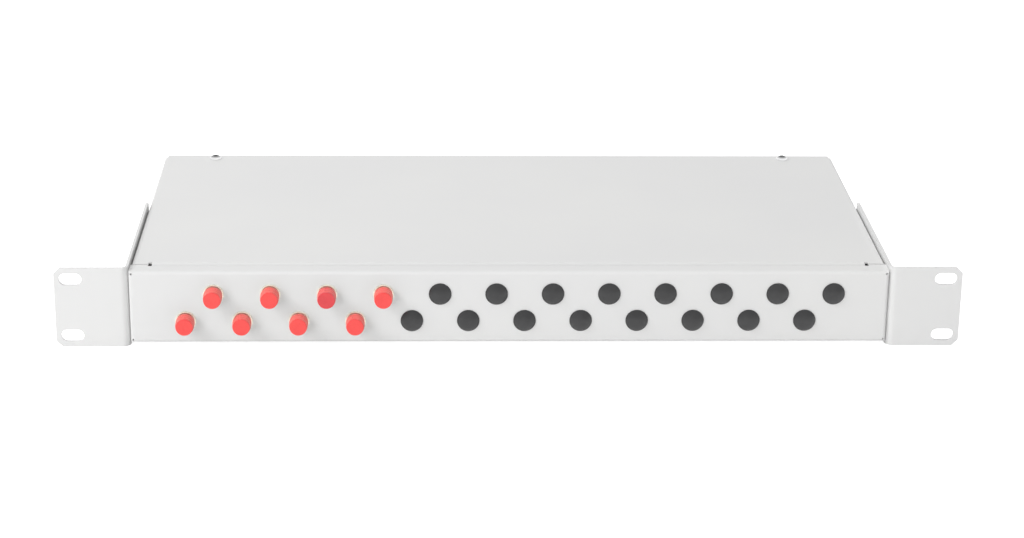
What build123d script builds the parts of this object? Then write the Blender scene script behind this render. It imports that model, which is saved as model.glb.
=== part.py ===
from build123d import *

import os
from math import atan2, tan

# Rack-mounted fibre patch panel, one rack unit high, in millimetres.
# X runs to the right, Y goes back into the rack and Z is up. The origin is the centre
# of the front face, which is also the centre of the four rack slots.

# Body
body_w = 404.0
body_d = 205.6
body_h = 40.0
panel_t = 1.2
bend_in_r = 0.6
lip_d = 11.4
lip_step = 2.0
corner_relief_r = 0.55
corner_relief_in = 1.4
corner_relief_d = 3.0

# Base tray
base_t = 1.2
base_front_gap = 0.2
wall_top_gap = 0.8
rear_flange_d = 16.0

# Cover
cover_t = 1.0
cover_gap = 0.2
seam_gap = 1.0
cover_flange_h = 12.0
cover_rear_flange_h = 6.0
rear_notch_w = 2.0
rear_notch_d = 5.0
tongue_in = 11.2
tongue_side_gap = 1.7
tongue_slit = 0.05
tongue_reach = 5.0
joggle_d = 2.8
joggle_start = 2.0
joggle_clear = 0.1
joggle_r = 2.2
cover_screw_side = 31.0
cover_screw_in = 8.0

# Rack brackets
ear_overall_w = 482.6
ear_h = 44.45
bracket_t = 1.5
bracket_bend_r = 4.0
bracket_gap = 0.2
leg_len = 110.0
leg_corner_r = 2.0
ear_chamfer = 3.3
slot_in = 8.75
slot_spacing_z = 31.75
slot_len = 12.0
slot_w = 6.5
bracket_screw_ys = (24.0, 92.0)

# Ports: two rows of twelve, the lower row half a pitch to the left
ports_per_row = 12
port_pitch = 30.0
row_spacing = 15.1
adapters_per_row = 4
port_hole_r = 4.6
port_flat = 4.1

# Round-flange adapter with M8 fine barrels
adapter_flange_r = 5.8
adapter_flange_t = 1.5
barrel_r = 4.0
front_barrel_len = 7.0
shank_r = 4.4
shank_flat = 3.9
shank_len = 5.0
rear_barrel_len = 7.0
socket_r = 3.0
socket_web_t = 3.2
core_r = 2.2
core_setback = 1.0
sleeve_hole_r = 1.65
key_slot_w = 2.2
key_slot_d = 3.0
barrel_lead = 0.4

# Split sleeve
sleeve_r = 1.6
sleeve_bore_r = 1.25
sleeve_len = 11.0
sleeve_slit = 0.5

# Adapter nut and lock washer
washer_r = 5.6
washer_t = 0.5
nut_af = 11.0
nut_t = 2.2
thread_clear = 0.05

# Dust caps
cap_base_r = 4.85
cap_front_r = 4.6
cap_gap = 0.6
cap_len = 8.3
cap_bore_clear = 0.05
cap_end_t = 1.2
cap_edge_r = 0.45

# Blanking plugs
plug_head_r = 6.0
plug_rim_t = 0.6
plug_crown = 2.2
plug_stem_r = 4.4
plug_stem_flat = 3.9
plug_stem_len = 7.0
plug_wall = 0.9

# Pan-head cover screws, M3, with clinch nuts
m3_r = 1.5
m3_hole_r = 1.7
cover_screw_len = 8.0
pan_head_r = 3.4
pan_head_h = 2.4
pan_head_edge = 1.1
recess_w = 0.8
recess_len = 3.2
recess_d = 1.3
m3_nut_r = 3.2
m3_nut_t = 2.2

# Countersunk bracket screws, M4, with spacers and clinch nuts
m4_r = 2.0
m4_hole_r = 2.2
csk_head_r = 3.4
csk_clear = 0.1
bracket_screw_len = 8.0
spacer_r = 4.5
m4_nut_r = 4.0
m4_nut_t = 2.6

# Cable glands in the rear wall
gland_side = 52.0
gland_thread_r = 9.9
gland_hole_r = 10.1
gland_bore_r = 6.0
gland_hex_af = 23.6
gland_hex_t = 6.0
gland_thread_in = 8.0
gland_neck_r = 8.6
gland_neck_len = 9.0
seal_r = 7.2
seal_bore_r = 4.5
seal_len = 9.0
seal_clear = 0.05
gland_cap_af = 22.0
gland_cap_len = 12.0
gland_cap_end_t = 1.6
gland_cap_mouth_r = 5.6
gland_cap_gap = 0.3
gland_dome = 2.4
gland_dome_taper = 35
locknut_af = 25.0
locknut_t = 4.0

# Splice tray on two stand-offs
tray_w = 170.0
tray_d = 100.0
tray_wall_h = 9.0
tray_floor_t = 1.5
tray_wall_t = 1.5
tray_corner_r = 24.0
tray_back = 9.2
tray_lift = 4.0
spool_r = 30.0
spool_clear = 1.8
spool_wall_h = 7.0
spool_gap = 26.0
comb_fins = 9
comb_pitch = 3.4
comb_fin_t = 1.0
comb_len = 18.0
comb_h = 6.0
tray_tab_w = 8.0
tray_tab_d = 6.0
tray_tab_t = 1.2
tray_post_in = 5.2
post_r = 3.6
tray_lid_t = 1.2
tray_lid_gap = 0.1
tray_lid_finger_r = 8.0
tray_screw_len = 5.0
tray_screw_head_r = 3.0
tray_screw_head_h = 1.6

# Fibre guide clips
guide_side = 72.0
guide_front_y = 48.0
guide_rear_gap = 44.4
guide_base = 14.0
guide_base_t = 1.2
guide_r = 7.0
guide_wall = 1.4
guide_w = 6.0
guide_mouth = 3.0

# Strength member clamps
clamp_gap = 8.4
clamp_w = 14.0
clamp_h = 16.0
clamp_foot = 12.0
clamp_t = 1.5
clamp_hole_z = 10.0
clamp_screw_len = 10.0

# Ground stud in the rear wall, M5
stud_r = 2.5
stud_len = 14.0
stud_in_len = 7.0
stud_nut_af = 8.0
stud_nut_t = 3.2
stud_washer_r = 5.2
stud_washer_t = 1.0

# Places worked out from the sizes above
half_w = body_w / 2
half_h = body_h / 2
bend_out_r = bend_in_r + panel_t
cover_bend_r = bend_in_r + cover_t
base_bend_r = bend_in_r + base_t
base_w = body_w - 2 * panel_t
base_front = panel_t + bend_in_r + base_front_gap
base_rear = body_d - cover_t - cover_gap
base_bottom = -half_h + panel_t
floor_z = base_bottom + base_t
cover_under = half_h - cover_t
wall_top = cover_under - wall_top_gap
cover_front = lip_d + seam_gap
leg_inner = half_w + bracket_gap
leg_outer = leg_inner + bracket_t
spacer_t = leg_inner - base_w / 2
wall_inner = base_w / 2 - base_t
tray_z = floor_z + tray_lift
tray_top = tray_z + tray_floor_t + tray_wall_h
gland_out = base_rear + gland_hex_t
gland_x = half_w - gland_side
cover_screw_x = half_w - cover_screw_side
tongue_w = body_w - 2 * tongue_in
slot_spacing_x = ear_overall_w - 2 * slot_in
tray_y = body_d / 2 + tray_back
tray_post_x = tray_w / 2 - tray_post_in
spool_x = tray_post_x - tray_screw_head_r - spool_clear - spool_r
clamp_y = base_rear - gland_thread_in - clamp_gap - clamp_foot
low = Align.MIN
mid = Align.CENTER
high = Align.MAX

top_row = [((i - (ports_per_row - 1.5) / 2) * port_pitch, row_spacing / 2) for i in range(ports_per_row)]
bottom_row = [(x - port_pitch / 2, -z) for x, z in top_row]
adapter_ports = bottom_row[:adapters_per_row] + top_row[:adapters_per_row]
plug_ports = bottom_row[adapters_per_row:] + top_row[adapters_per_row:]
all_ports = adapter_ports + plug_ports

os.makedirs("parts", exist_ok=True)


def keep(piece, name):
    piece.label = name
    export_step(piece, f"parts/{name}.step")


def at_depth(y):
    # A plane that faces the front, with its own x and y along X and Z
    return Plane.XZ.offset(-y)


def corner_near(profile, x, y):
    # The corner of a profile that lies nearest to a point
    return profile.vertices().sort_by_distance((x, y))[0]


def places(points):
    # Points on the front face, given by their X and Z
    return [(x, 0, z) for x, z in points]


# Front panel: a shallow folded pan with a lip all round
with BuildPart() as pan_cavity:
    with Locations((0, panel_t, 0)):
        Box(body_w - 2 * panel_t, lip_d, body_h - 2 * panel_t, align=(mid, low, mid))
    fillet(pan_cavity.faces().sort_by(Axis.Y)[0].edges(), bend_in_r)

with BuildPart() as front_panel:
    Box(body_w, lip_d, body_h, align=(mid, low, mid))
    fillet(front_panel.faces().sort_by(Axis.Y)[0].edges(), bend_out_r)
    add(pan_cavity.part, mode=Mode.SUBTRACT)
    # The middle of the top lip is set back for the cover's joggled tongue
    with BuildSketch(Plane.XY.offset(half_h)):
        with Locations((0, lip_d)):
            Rectangle(tongue_w + 2 * tongue_side_gap, 2 * lip_step)
    extrude(amount=-panel_t, mode=Mode.SUBTRACT)
    # Round port holes with a flat at the top that keeps an adapter from turning
    with BuildSketch(at_depth(0)):
        with Locations(*all_ports):
            Circle(port_hole_r)
        with Locations(*[(x, z + port_flat) for x, z in all_ports]):
            Rectangle(2 * port_hole_r, port_hole_r, align=(mid, low), mode=Mode.SUBTRACT)
    extrude(amount=-panel_t, mode=Mode.SUBTRACT)
    # Relief holes where the bend lines meet
    with BuildSketch(at_depth(0)):
        with GridLocations(body_w - 2 * corner_relief_in, body_h - 2 * corner_relief_in, 2, 2):
            Circle(corner_relief_r)
    extrude(amount=-corner_relief_d, mode=Mode.SUBTRACT)
keep(front_panel.part, "front_panel")


# Base tray: floor, side walls and a rear wall with an inward top flange
base_d = base_rear - base_front
with BuildPart() as base_cavity:
    with Locations((0, base_front - base_t, floor_z)):
        Box(base_w - 2 * base_t, base_d, body_h, align=(mid, low, low))
    inner_edges = base_cavity.faces().sort_by(Axis.Z)[0].edges().filter_by(Axis.Y)
    inner_edges += base_cavity.faces().sort_by(Axis.Y)[-1].edges().sort_by(Axis.Z)[:3]
    fillet(inner_edges, bend_in_r)

with BuildPart() as base_tray:
    with Locations((0, base_front, base_bottom)):
        Box(base_w, base_d, wall_top - base_bottom, align=(mid, low, low))
    outer_edges = base_tray.faces().sort_by(Axis.Z)[0].edges().filter_by(Axis.Y)
    outer_edges += base_tray.faces().sort_by(Axis.Y)[-1].edges().sort_by(Axis.Z)[:3]
    fillet(outer_edges, base_bend_r)
    add(base_cavity.part, mode=Mode.SUBTRACT)
    with BuildSketch(Plane.YZ) as flange_profile:
        with BuildLine():
            Polyline(
                (base_rear, 0),
                (base_rear, cover_under),
                (base_rear - rear_flange_d, cover_under),
                (base_rear - rear_flange_d, cover_under - base_t),
                (base_rear - base_t, cover_under - base_t),
                (base_rear - base_t, 0),
                close=True,
            )
        make_face()
        fillet(corner_near(flange_profile, base_rear, cover_under), base_bend_r)
        fillet(corner_near(flange_profile, base_rear - base_t, cover_under - base_t), bend_in_r)
    extrude(amount=base_w / 2 - base_bend_r, both=True)
    # Cover screw holes in the flange
    with BuildSketch(Plane.XY.offset(cover_under)):
        with Locations((-cover_screw_x, body_d - cover_screw_in), (cover_screw_x, body_d - cover_screw_in)):
            Circle(m3_hole_r)
    extrude(amount=-base_t, mode=Mode.SUBTRACT)
    # Cable entries and the ground stud's hole in the rear wall
    with BuildSketch(at_depth(base_rear)):
        with Locations((-gland_x, 0), (gland_x, 0)):
            Circle(gland_hole_r)
        Circle(stud_r + thread_clear)
    extrude(amount=base_t, mode=Mode.SUBTRACT)
    # Bracket screw holes through both side walls
    with BuildSketch(Plane.YZ.offset(-base_w / 2)):
        with Locations(*[(y, 0) for y in bracket_screw_ys]):
            Circle(m4_hole_r)
    extrude(amount=base_w, mode=Mode.SUBTRACT)
    # Floor holes for the stand-offs
    with BuildSketch(Plane.XY.offset(base_bottom)):
        with Locations((-tray_post_x, tray_y), (tray_post_x, tray_y)):
            Circle(m3_hole_r)
    extrude(amount=base_t, mode=Mode.SUBTRACT)
keep(base_tray.part, "base_tray")


# Cover: top plate, side and rear flanges, and the joggled tongue under the front lip
cover_d = body_d - cover_front
with BuildPart() as cover_cavity:
    with Locations((0, cover_front - cover_t, cover_under)):
        Box(body_w - 2 * cover_t, cover_d, body_h, align=(mid, low, high))
    inner_edges = cover_cavity.faces().sort_by(Axis.Z)[-1].edges().filter_by(Axis.Y)
    inner_edges += cover_cavity.faces().sort_by(Axis.Z)[-1].edges().filter_by(Axis.X).sort_by(Axis.Y)[-1:]
    fillet(inner_edges, bend_in_r)

joggle_drop = panel_t + joggle_clear
joggle_back = cover_front + joggle_start
joggle_front = joggle_back - joggle_d
joggle_miter = cover_t * tan(atan2(joggle_drop, joggle_d) / 2)
with BuildPart() as cover:
    with Locations((0, cover_front, half_h)):
        Box(body_w, cover_d, cover_flange_h, align=(mid, low, high))
    outer_edges = cover.faces().sort_by(Axis.Z)[-1].edges().filter_by(Axis.Y)
    outer_edges += cover.faces().sort_by(Axis.Z)[-1].edges().filter_by(Axis.X).sort_by(Axis.Y)[-1:]
    fillet(outer_edges, cover_bend_r)
    add(cover_cavity.part, mode=Mode.SUBTRACT)
    # The flat plate stops behind the joggle, with a slit at each end of it
    with BuildSketch(Plane.XY.offset(half_h)):
        with Locations((0, cover_front)):
            Rectangle(tongue_w + 2 * tongue_slit, 2 * (joggle_start + joggle_r), align=(mid, mid))
    extrude(amount=-cover_t, mode=Mode.SUBTRACT)
    with BuildSketch(Plane.YZ) as tongue_profile:
        with BuildLine():
            Polyline(
                (joggle_back + joggle_r, half_h),
                (joggle_back, half_h),
                (joggle_front, half_h - joggle_drop),
                (tongue_reach, half_h - joggle_drop),
                (tongue_reach, cover_under - joggle_drop),
                (joggle_front - joggle_miter, cover_under - joggle_drop),
                (joggle_back - joggle_miter, cover_under),
                (joggle_back + joggle_r, cover_under),
                close=True,
            )
        make_face()
        fillet(corner_near(tongue_profile, joggle_back, half_h), joggle_r)
        fillet(corner_near(tongue_profile, joggle_front, half_h - joggle_drop), joggle_r)
        fillet(corner_near(tongue_profile, joggle_back - joggle_miter, cover_under), joggle_r)
        fillet(corner_near(tongue_profile, joggle_front - joggle_miter, cover_under - joggle_drop), joggle_r)
    extrude(amount=tongue_w / 2, both=True)
    # The rear flange is shorter than the side flanges and clears the glands
    with Locations((0, body_d, half_h - cover_rear_flange_h)):
        Box(body_w - 2 * rear_notch_w, 2 * (cover_t + bend_in_r), body_h, align=(mid, mid, high), mode=Mode.SUBTRACT)
    # Side and rear flanges stay apart at the rear corners
    with BuildSketch(Plane.XY.offset(half_h)):
        with Locations((-half_w, body_d), (half_w, body_d)):
            Rectangle(2 * rear_notch_w, 2 * rear_notch_d)
    extrude(amount=-cover_flange_h, mode=Mode.SUBTRACT)
    with BuildSketch(Plane.XY.offset(half_h)):
        with Locations((-cover_screw_x, body_d - cover_screw_in), (cover_screw_x, body_d - cover_screw_in)):
            Circle(m3_hole_r)
    extrude(amount=-cover_t, mode=Mode.SUBTRACT)
keep(cover.part, "cover")


# Rack brackets: an ear in the plane of the front face and a leg along the side
with BuildPart() as left_bracket:
    with BuildSketch(Plane.XY.offset(-ear_h / 2)) as bracket_profile:
        with BuildLine():
            Polyline(
                (-ear_overall_w / 2, 0),
                (-leg_inner, 0),
                (-leg_inner, leg_len),
                (-leg_outer, leg_len),
                (-leg_outer, bracket_t),
                (-ear_overall_w / 2, bracket_t),
                close=True,
            )
        make_face()
        fillet(corner_near(bracket_profile, -leg_inner, 0), bracket_bend_r)
        fillet(corner_near(bracket_profile, -leg_outer, bracket_t), bracket_bend_r - bracket_t)
    extrude(amount=ear_h)
    chamfer(left_bracket.faces().sort_by(Axis.X)[0].edges().filter_by(Axis.Y), ear_chamfer)
    fillet(left_bracket.faces().sort_by(Axis.Y)[-1].edges().filter_by(Axis.X), leg_corner_r)
    with BuildSketch(at_depth(0)):
        with Locations((-slot_spacing_x / 2, -slot_spacing_z / 2), (-slot_spacing_x / 2, slot_spacing_z / 2)):
            SlotOverall(slot_len, slot_w)
    extrude(amount=-bracket_t, mode=Mode.SUBTRACT)
    with Locations(*[Plane((-leg_outer, y, 0), z_dir=(-1, 0, 0)) for y in bracket_screw_ys]):
        CounterSinkHole(m4_hole_r, csk_head_r + csk_clear, depth=2 * bracket_t)
keep(left_bracket.part, "left_bracket")

with BuildPart() as right_bracket:
    add(mirror(left_bracket.part, about=Plane.YZ, mode=Mode.PRIVATE))
keep(right_bracket.part, "right_bracket")


# Bracket screws, countersunk flush with the leg, with their spacers and clinch nuts
screw_places = [(y, 0) for y in bracket_screw_ys]
with BuildPart() as bracket_screw:
    with BuildSketch(Plane.XY):
        with BuildLine():
            Polyline(
                (0, 0),
                (0, csk_head_r),
                (csk_head_r - m4_r, m4_r),
                (bracket_screw_len, m4_r),
                (bracket_screw_len, 0),
                close=True,
            )
        make_face()
    revolve(axis=Axis.X)
    with BuildSketch(Plane.YZ):
        Rectangle(recess_len, recess_w)
        Rectangle(recess_w, recess_len)
    extrude(amount=recess_d, mode=Mode.SUBTRACT)

with BuildPart() as bracket_screws:
    with Locations(*[(-leg_outer, y, 0) for y in bracket_screw_ys]):
        add(bracket_screw.part)
    mirror(bracket_screws.part, about=Plane.YZ)
keep(bracket_screws.part, "bracket_screws")

with BuildPart() as bracket_spacers:
    with BuildSketch(Plane.YZ.offset(base_w / 2)):
        with Locations(*screw_places):
            Circle(spacer_r)
            Circle(m4_hole_r, mode=Mode.SUBTRACT)
    extrude(amount=spacer_t)
    mirror(bracket_spacers.part, about=Plane.YZ)
keep(bracket_spacers.part, "bracket_spacers")

with BuildPart() as bracket_nuts:
    with BuildSketch(Plane.YZ.offset(wall_inner)):
        with Locations(*screw_places):
            Circle(m4_nut_r)
            Circle(m4_r + thread_clear, mode=Mode.SUBTRACT)
    extrude(amount=-m4_nut_t)
    mirror(bracket_nuts.part, about=Plane.YZ)
keep(bracket_nuts.part, "bracket_nuts")


# Cover screws with cross recesses, and the clinch nuts under the rear flange
cover_screw_places = [(-cover_screw_x, body_d - cover_screw_in), (cover_screw_x, body_d - cover_screw_in)]
pan_crown = pan_head_h - pan_head_edge
pan_crown_r = (pan_head_r**2 + pan_crown**2) / (2 * pan_crown)
with BuildPart() as pan_screw:
    with BuildSketch(Plane.XZ):
        with BuildLine():
            Line((0, -cover_screw_len), (m3_r, -cover_screw_len))
            Line((m3_r, -cover_screw_len), (m3_r, 0))
            Line((m3_r, 0), (pan_head_r, 0))
            Line((pan_head_r, 0), (pan_head_r, pan_head_edge))
            RadiusArc((pan_head_r, pan_head_edge), (0, pan_head_h), -pan_crown_r)
            Line((0, pan_head_h), (0, -cover_screw_len))
        make_face()
    revolve(axis=Axis.Z)
    with BuildSketch(Plane.XY.offset(pan_head_h - recess_d)):
        Rectangle(recess_len, recess_w)
        Rectangle(recess_w, recess_len)
    extrude(amount=2 * recess_d, mode=Mode.SUBTRACT)

with BuildPart() as cover_screws:
    with Locations(*[(x, y, half_h) for x, y in cover_screw_places]):
        add(pan_screw.part)
keep(cover_screws.part, "cover_screws")

with BuildPart() as cover_nuts:
    with BuildSketch(Plane.XY.offset(cover_under - base_t)):
        with Locations(*cover_screw_places):
            Circle(m3_nut_r)
            Circle(m3_r + thread_clear, mode=Mode.SUBTRACT)
    extrude(amount=-m3_nut_t)
keep(cover_nuts.part, "cover_nuts")


# Adapter: threaded barrel, round flange, flatted shank, core tube for the sleeve
front_tip = -(adapter_flange_t + front_barrel_len)
rear_tip = shank_len + rear_barrel_len
web_y = (front_tip + rear_tip) / 2
with BuildPart() as adapter:
    with BuildSketch(Plane.XY) as body_profile:
        with BuildLine():
            Polyline(
                (sleeve_hole_r, front_tip + core_setback),
                (core_r, front_tip + core_setback),
                (core_r, web_y - socket_web_t / 2),
                (socket_r, web_y - socket_web_t / 2),
                (socket_r, front_tip),
                (barrel_r - barrel_lead, front_tip),
                (barrel_r, front_tip + barrel_lead),
                (barrel_r, -adapter_flange_t),
                (adapter_flange_r, -adapter_flange_t),
                (adapter_flange_r, 0),
                (shank_r, 0),
                (shank_r, shank_len),
                (barrel_r, shank_len),
                (barrel_r, rear_tip - barrel_lead),
                (barrel_r - barrel_lead, rear_tip),
                (socket_r, rear_tip),
                (socket_r, web_y + socket_web_t / 2),
                (core_r, web_y + socket_web_t / 2),
                (core_r, rear_tip - core_setback),
                (sleeve_hole_r, rear_tip - core_setback),
                close=True,
            )
        make_face()
    revolve(axis=Axis.Y)
    # The flat on the shank, and the key slots in both barrels
    with Locations((0, 0, shank_flat)):
        Box(2 * shank_r, shank_len, shank_r, align=(mid, low, low), mode=Mode.SUBTRACT)
    with Locations((0, front_tip, barrel_r)):
        Box(key_slot_w, key_slot_d, 2 * (barrel_r - core_r), align=(mid, low, mid), mode=Mode.SUBTRACT)
    with Locations((0, rear_tip, barrel_r)):
        Box(key_slot_w, key_slot_d, 2 * (barrel_r - core_r), align=(mid, high, mid), mode=Mode.SUBTRACT)

for i, (x, z) in enumerate(adapter_ports, start=1):
    keep(adapter.part.moved(Location((x, 0, z))), f"adapter_{i}")

with BuildPart() as adapter_washers:
    with BuildSketch(at_depth(panel_t)):
        with Locations(*adapter_ports):
            Circle(washer_r)
            Circle(shank_r + thread_clear, mode=Mode.SUBTRACT)
    extrude(amount=-washer_t)
keep(adapter_washers.part, "adapter_washers")

with BuildPart() as adapter_nuts:
    with BuildSketch(at_depth(panel_t + washer_t)):
        with Locations(*adapter_ports):
            RegularPolygon(nut_af / 2, 6, major_radius=False)
            Circle(shank_r + thread_clear, mode=Mode.SUBTRACT)
    extrude(amount=-nut_t)
keep(adapter_nuts.part, "adapter_nuts")

with BuildPart() as split_sleeves:
    with BuildSketch(at_depth(web_y - sleeve_len / 2)):
        with Locations(*adapter_ports):
            Circle(sleeve_r)
            Circle(sleeve_bore_r, mode=Mode.SUBTRACT)
        with Locations(*[(x, z + sleeve_r) for x, z in adapter_ports]):
            Rectangle(sleeve_slit, sleeve_r, mode=Mode.SUBTRACT)
    extrude(amount=-sleeve_len)
keep(split_sleeves.part, "split_sleeves")


# Dust cap: a soft tapered cup pushed over the barrel, open towards the panel
with BuildPart() as dust_cap:
    with BuildSketch(Plane.XY) as cap_profile:
        with BuildLine():
            Polyline(
                (0, -cap_len),
                (cap_front_r, -cap_len),
                (cap_base_r, 0),
                (barrel_r + cap_bore_clear, 0),
                (barrel_r + cap_bore_clear, cap_end_t - cap_len),
                (0, cap_end_t - cap_len),
                close=True,
            )
        make_face()
    revolve(axis=Axis.Y)
    fillet(dust_cap.faces().sort_by(Axis.Y)[0].edges(), cap_edge_r)

for i, (x, z) in enumerate(adapter_ports, start=1):
    seat = Location((x, -adapter_flange_t - cap_gap, z))
    keep(dust_cap.part.moved(seat), f"dust_cap_{i}")

inner_cap_y = rear_tip + cap_gap + cap_end_t - cap_len
with BuildPart() as inner_dust_caps:
    with Locations(*[Location((x, inner_cap_y, z), (180, 0, 0)) for x, z in adapter_ports]):
        add(dust_cap.part)
keep(inner_dust_caps.part, "inner_dust_caps")


# Blanking plug: domed head on the panel face and a hollow flatted stem in the hole
dome_r = (plug_head_r**2 + plug_crown**2) / (2 * plug_crown)
with BuildPart() as blank_plug:
    with BuildSketch(Plane.XY):
        with BuildLine():
            RadiusArc((0, -plug_rim_t - plug_crown), (plug_head_r, -plug_rim_t), -dome_r)
            Polyline(
                (plug_head_r, -plug_rim_t),
                (plug_head_r, 0),
                (plug_stem_r, 0),
                (plug_stem_r, plug_stem_len),
                (plug_stem_r - plug_wall, plug_stem_len),
                (plug_stem_r - plug_wall, 0),
                (0, 0),
                (0, -plug_rim_t - plug_crown),
            )
        make_face()
    revolve(axis=Axis.Y)
    with Locations((0, 0, plug_stem_flat)):
        Box(2 * plug_stem_r, plug_stem_len, plug_stem_r, align=(mid, low, low), mode=Mode.SUBTRACT)

for i, (x, z) in enumerate(plug_ports, start=1):
    keep(blank_plug.part.moved(Location((x, 0, z))), f"blank_plug_{i}")


# Cable glands: body through the wall, lock nut inside, seal and cap nut outside
gland_places = [(-gland_x, 0), (gland_x, 0)]
with BuildPart() as gland_body:
    with BuildSketch(at_depth(base_rear)):
        RegularPolygon(gland_hex_af / 2, 6, major_radius=False)
    extrude(amount=-gland_hex_t)
    with BuildSketch(at_depth(base_rear)):
        Circle(gland_thread_r)
    extrude(amount=gland_thread_in)
    with BuildSketch(at_depth(gland_out)):
        Circle(gland_neck_r)
    extrude(amount=-gland_neck_len)
    with BuildSketch(at_depth(gland_out + gland_neck_len)):
        Circle(gland_bore_r)
    extrude(amount=gland_neck_len + gland_hex_t + gland_thread_in, mode=Mode.SUBTRACT)
    with BuildSketch(at_depth(gland_out + gland_neck_len)):
        Circle(seal_r + seal_clear)
    extrude(amount=seal_len, mode=Mode.SUBTRACT)

with BuildPart() as gland_bodies:
    with Locations(*places(gland_places)):
        add(gland_body.part)
keep(gland_bodies.part, "gland_bodies")

with BuildPart() as gland_seals:
    with BuildSketch(at_depth(gland_out + gland_neck_len)):
        with Locations(*gland_places):
            Circle(seal_r)
            Circle(seal_bore_r, mode=Mode.SUBTRACT)
    extrude(amount=seal_len)
keep(gland_seals.part, "gland_seals")

cap_start = gland_out + gland_cap_gap
cap_end = cap_start + gland_cap_len
with BuildPart() as gland_cap:
    with BuildSketch(at_depth(cap_start)):
        RegularPolygon(gland_cap_af / 2, 6, major_radius=False)
    extrude(amount=-(gland_cap_len - gland_dome))
    with BuildSketch(at_depth(cap_end - gland_dome)):
        Circle(gland_cap_af / 2)
    extrude(amount=-gland_dome, taper=gland_dome_taper)
    with BuildSketch(at_depth(cap_start)):
        Circle(gland_neck_r + thread_clear)
    extrude(amount=-(gland_cap_len - gland_cap_end_t), mode=Mode.SUBTRACT)
    with BuildSketch(at_depth(cap_start)):
        Circle(gland_cap_mouth_r)
    extrude(amount=-gland_cap_len, mode=Mode.SUBTRACT)

with BuildPart() as gland_cap_nuts:
    with Locations(*places(gland_places)):
        add(gland_cap.part)
keep(gland_cap_nuts.part, "gland_cap_nuts")

with BuildPart() as gland_lock_nuts:
    with BuildSketch(at_depth(base_rear - base_t)):
        with Locations(*gland_places):
            RegularPolygon(locknut_af / 2, 6, major_radius=False)
            Circle(gland_thread_r + thread_clear, mode=Mode.SUBTRACT)
    extrude(amount=locknut_t)
keep(gland_lock_nuts.part, "gland_lock_nuts")


# Splice tray: rounded dish with half spools, retaining tabs and a sleeve comb
tray_plane = Plane((0, tray_y, tray_z))
with BuildPart() as splice_tray:
    with BuildSketch(tray_plane):
        RectangleRounded(tray_w, tray_d, tray_corner_r)
    extrude(amount=tray_floor_t + tray_wall_h)
    with BuildSketch(tray_plane.offset(tray_floor_t)):
        RectangleRounded(tray_w - 2 * tray_wall_t, tray_d - 2 * tray_wall_t, tray_corner_r - tray_wall_t)
    extrude(amount=tray_wall_h, mode=Mode.SUBTRACT)
    # Two spool walls, each open at its front and its rear
    with BuildSketch(tray_plane.offset(tray_floor_t)):
        with Locations((-spool_x, 0), (spool_x, 0)):
            Circle(spool_r)
            Circle(spool_r - tray_wall_t, mode=Mode.SUBTRACT)
            Rectangle(spool_gap, 3 * spool_r, mode=Mode.SUBTRACT)
    extrude(amount=spool_wall_h)
    # Comb fins that grip the splice sleeves
    with BuildSketch(tray_plane.offset(tray_floor_t)):
        with GridLocations(comb_pitch, 0, comb_fins, 1):
            Rectangle(comb_fin_t, comb_len)
    extrude(amount=comb_h)
    # Tabs that keep the fibre down, just under the rim
    with BuildSketch(tray_plane.offset(tray_floor_t + tray_wall_h - 2 * tray_tab_t)):
        with Locations((-spool_x, 0), (spool_x, 0)):
            with Locations((0, tray_d / 2 - tray_wall_t / 2), (0, tray_wall_t / 2 - tray_d / 2)):
                Rectangle(tray_tab_w, 2 * tray_tab_d)
        RectangleRounded(tray_w, tray_d, tray_corner_r, mode=Mode.INTERSECT)
    extrude(amount=tray_tab_t)
    with BuildSketch(tray_plane):
        with Locations((-tray_post_x, 0), (tray_post_x, 0)):
            Circle(m3_hole_r)
    extrude(amount=tray_floor_t, mode=Mode.SUBTRACT)
keep(splice_tray.part, "splice_tray")

with BuildPart() as tray_lid:
    with BuildSketch(Plane((0, tray_y, tray_top + tray_lid_gap))):
        RectangleRounded(tray_w, tray_d, tray_corner_r)
        with Locations((0, tray_d / 2), (0, -tray_d / 2)):
            Circle(tray_lid_finger_r, mode=Mode.SUBTRACT)
    extrude(amount=tray_lid_t)
keep(tray_lid.part, "tray_lid")

with BuildPart() as tray_posts:
    with BuildSketch(Plane((0, tray_y, floor_z))):
        with Locations((-tray_post_x, 0), (tray_post_x, 0)):
            Circle(post_r)
    extrude(amount=tray_lift)
    with BuildSketch(Plane((0, tray_y, base_bottom))):
        with Locations((-tray_post_x, 0), (tray_post_x, 0)):
            Circle(m3_hole_r - thread_clear)
    extrude(amount=base_t)
    with BuildSketch(Plane((0, tray_y, tray_z))):
        with Locations((-tray_post_x, 0), (tray_post_x, 0)):
            Circle(m3_r + thread_clear)
    extrude(amount=-tray_lift, mode=Mode.SUBTRACT)
keep(tray_posts.part, "tray_posts")

with BuildPart() as tray_screws:
    with BuildSketch(Plane((0, tray_y, tray_z + tray_floor_t))):
        with Locations((-tray_post_x, 0), (tray_post_x, 0)):
            Circle(tray_screw_head_r)
    extrude(amount=tray_screw_head_h)
    with BuildSketch(Plane((0, tray_y, tray_z + tray_floor_t))):
        with Locations((-tray_post_x, 0), (tray_post_x, 0)):
            Circle(m3_r)
    extrude(amount=-tray_screw_len)
keep(tray_screws.part, "tray_screws")


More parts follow.
